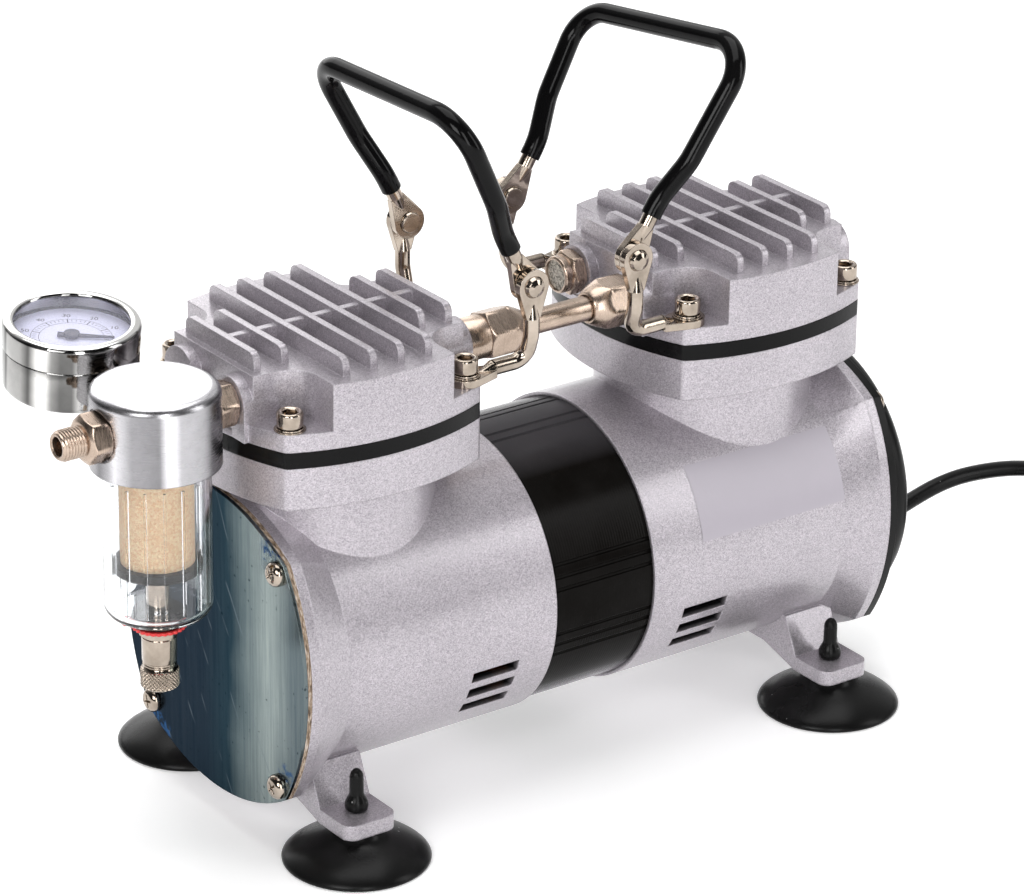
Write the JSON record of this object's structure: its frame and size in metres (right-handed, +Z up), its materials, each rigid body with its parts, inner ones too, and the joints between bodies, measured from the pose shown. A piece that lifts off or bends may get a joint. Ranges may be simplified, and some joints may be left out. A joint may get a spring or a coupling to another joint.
{
  "type": "twin cylinder vacuum pump",
  "caption": "Oil-free piston vacuum pump: finned heads on a tubular motor housing, folding handles, intake filter with gauge, suction cup feet and a supply cord.",
  "frame": {"origin": "on the floor, at the middle of the length from the inlet thread's tip to the end cap and midway between the feet", "axes": "+X along the motor shaft towards the cord end, +Y towards the outlet side, +Z up"},
  "size_m": [0.4905, 0.1887, 0.2343],
  "materials": {
    "silver_paint": "fine metallic sparkle, semi-gloss",
    "stack_lacquer": "black gloss lacquer over steel sheets",
    "copper_winding": "lacquered copper wire",
    "blued_steel": "dark blued, brushed upright",
    "cork": "pressed cork",
    "nickel": "warm nickel plating",
    "black_plastic": "fine grained",
    "black_anodised": "gloss black",
    "liner_metal": "hard anodised bore",
    "piston_alloy": "machined",
    "spring_steel": "ground",
    "dark_steel": "machined",
    "brushed_aluminium": "turned and brushed",
    "clear_bowl": "clear plastic",
    "sintered_bronze": "sintered grains",
    "red_plastic": "moulded",
    "black_rubber": "satin",
    "chrome": "polished",
    "lens": "clear",
    "dial_enamel": "printed enamel",
    "pointer_black": "matt",
    "black_vinyl": "glossy soft sleeve"
  },
  "bodies": {
    "pump": {"housing_left": "silver_paint", "housing_right": "silver_paint", "stator_core": "stack_lacquer", "stator_windings": "copper_winding", "end_plate": "blued_steel", "end_gasket": "cork", "cover_screws": "nickel", "end_cap": "black_plastic", "cylinder_liners": "liner_metal", "valve_plates": "black_anodised", "valve_reeds": "spring_steel", "cylinder_head_left": "silver_paint", "cylinder_head_right": "silver_paint", "head_screws": "nickel", "head_washers": "nickel", "crossover_tube": "nickel", "tube_fittings": "nickel", "tube_nuts": "nickel", "silencers": "nickel", "filter_adapter": "nickel", "filter_head": "brushed_aluminium", "inlet_nipple": "nickel", "filter_bowl": "clear_bowl", "bowl_seal": "black_rubber", "filter_element": "sintered_bronze", "filter_baffle": "black_plastic", "drain_seal": "black_rubber", "drain_lock_ring": "red_plastic", "drain_body": "nickel", "gauge_case": "chrome", "gauge_bezel": "chrome", "gauge_lens": "lens", "gauge_dial": "dial_enamel", "gauge_stem": "nickel", "main_bearings": "dark_steel", "handle_brackets": "nickel", "handle_rivets": "nickel", "suction_cups": "black_rubber", "cord_gland": "black_rubber", "cord_tube": "black_rubber", "cord_coil": "black_rubber", "cord_plug": "black_plastic"},
    "rotor": {"motor_shaft": "dark_steel", "rotor_core": "dark_steel", "cranks": "dark_steel", "rod_bearings": "dark_steel", "cooling_fans": "black_plastic"},
    "left_rod": {"rod_left": "piston_alloy", "wrist_pin_left": "spring_steel"},
    "right_rod": {"rod_right": "piston_alloy", "wrist_pin_right": "spring_steel"},
    "left_piston": {"piston_left": "piston_alloy"},
    "right_piston": {"piston_right": "piston_alloy"},
    "left_handle": {"handle_wire_left": "nickel", "handle_grip_left": "black_vinyl"},
    "right_handle": {"handle_wire_right": "nickel", "handle_grip_right": "black_vinyl"},
    "pointer": {"gauge_pointer": "pointer_black"},
    "knob": {"drain_knob": "nickel"}
  },
  "joints": [
    {"name": "shaft_spin", "type": "hinge", "parent": "pump", "child": "rotor", "pos_m": [0, 0, 0.0615], "axis": [1, 0, 0], "continuous": true},
    {"name": "left_rod_turn", "type": "hinge", "parent": "rotor", "child": "left_rod", "pos_m": [-0.0505, 0, 0.066], "axis": [1, 0, 0], "continuous": true},
    {"name": "right_rod_turn", "type": "hinge", "parent": "rotor", "child": "right_rod", "pos_m": [0.0995, 0, 0.057], "axis": [1, 0, 0], "continuous": true},
    {"name": "left_piston_stroke", "type": "slide", "parent": "pump", "child": "left_piston", "axis": [0, 0, 1], "range_m": [-0.009, 0]},
    {"name": "right_piston_stroke", "type": "slide", "parent": "pump", "child": "right_piston", "axis": [0, 0, 1], "range_m": [0, 0.009]},
    {"name": "left_handle_fold", "type": "hinge", "parent": "pump", "child": "left_handle", "pos_m": [0.0045, 0, 0.169], "axis": [0, 1, 0], "range_deg": [-65, 40.5]},
    {"name": "right_handle_fold", "type": "hinge", "parent": "pump", "child": "right_handle", "pos_m": [0.0445, 0, 0.169], "axis": [0, 1, 0], "range_deg": [-44, 60.5]},
    {"name": "gauge_reading", "type": "hinge", "parent": "pump", "child": "pointer", "pos_m": [-0.1185, 0.0328, 0.1636], "axis": [0, -0.0872, 0.9962], "range_deg": [0, 270]},
    {"name": "drain_turn", "type": "hinge", "parent": "pump", "child": "knob", "pos_m": [-0.1185, -0.014, 0.063], "axis": [0, 0, 1], "range_deg": [0, 180]}
  ],
  "couplings": [
    {"joint": "left_rod_turn", "follows": "shaft_spin", "ratio": -1},
    {"joint": "right_rod_turn", "follows": "shaft_spin", "ratio": -1}
  ]
}
